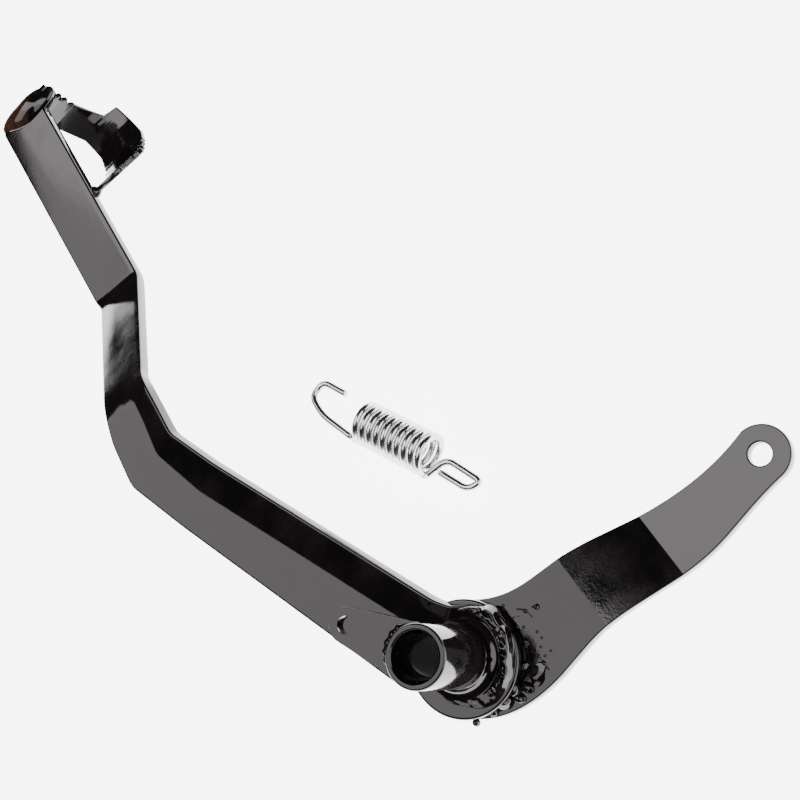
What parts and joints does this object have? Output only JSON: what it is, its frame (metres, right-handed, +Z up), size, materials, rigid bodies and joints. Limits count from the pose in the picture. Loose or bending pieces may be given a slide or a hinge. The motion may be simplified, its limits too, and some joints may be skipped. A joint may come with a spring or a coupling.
{
  "type": "motorcycle rear brake pedal",
  "caption": "Welded steel foot brake pedal with pivot tube, rod lever, bent arm and serrated open foot loop, with its loose return spring.",
  "frame": {"origin": "middle of the bounding box in plan, on the surface that the pedal lies on", "axes": "+Z up from that surface; +Y towards the foot pad, along the length; +X to the right of that, towards the rod lever's end"},
  "size_m": [0.155, 0.4134, 0.0539],
  "materials": {
    "black_paint": "gloss",
    "weld_paint": "gloss, lumpy",
    "zinc_wire": "bright zinc"
  },
  "bodies": {
    "pedal": {"arm": "black_paint", "lever_plate": "black_paint", "pivot_tube": "black_paint", "spring_tab": "black_paint", "foot_pad": "black_paint", "tube_weld": "weld_paint", "seam_weld": "weld_paint", "tab_weld": "weld_paint", "tip_weld": "weld_paint", "leg_weld": "weld_paint", "spatter": "weld_paint"},
    "spring": {"spring_coil": "zinc_wire", "spring_hook_open": "zinc_wire"},
    "spring_hook": {"spring_hook_closed": "zinc_wire"}
  },
  "joints": [
    {"name": "spring_lift", "type": "slide", "parent": "pedal", "child": "spring", "axis": [0, 0, 1], "range_m": [0, 0.06]},
    {"name": "spring_stretch", "type": "slide", "parent": "spring", "child": "spring_hook", "axis": [0.134, -0.991, 0], "range_m": [0, 0.025], "stiffness_N_per_m": 1500, "springref_m": -0.002, "deforming": ["spring_coil"]}
  ]
}
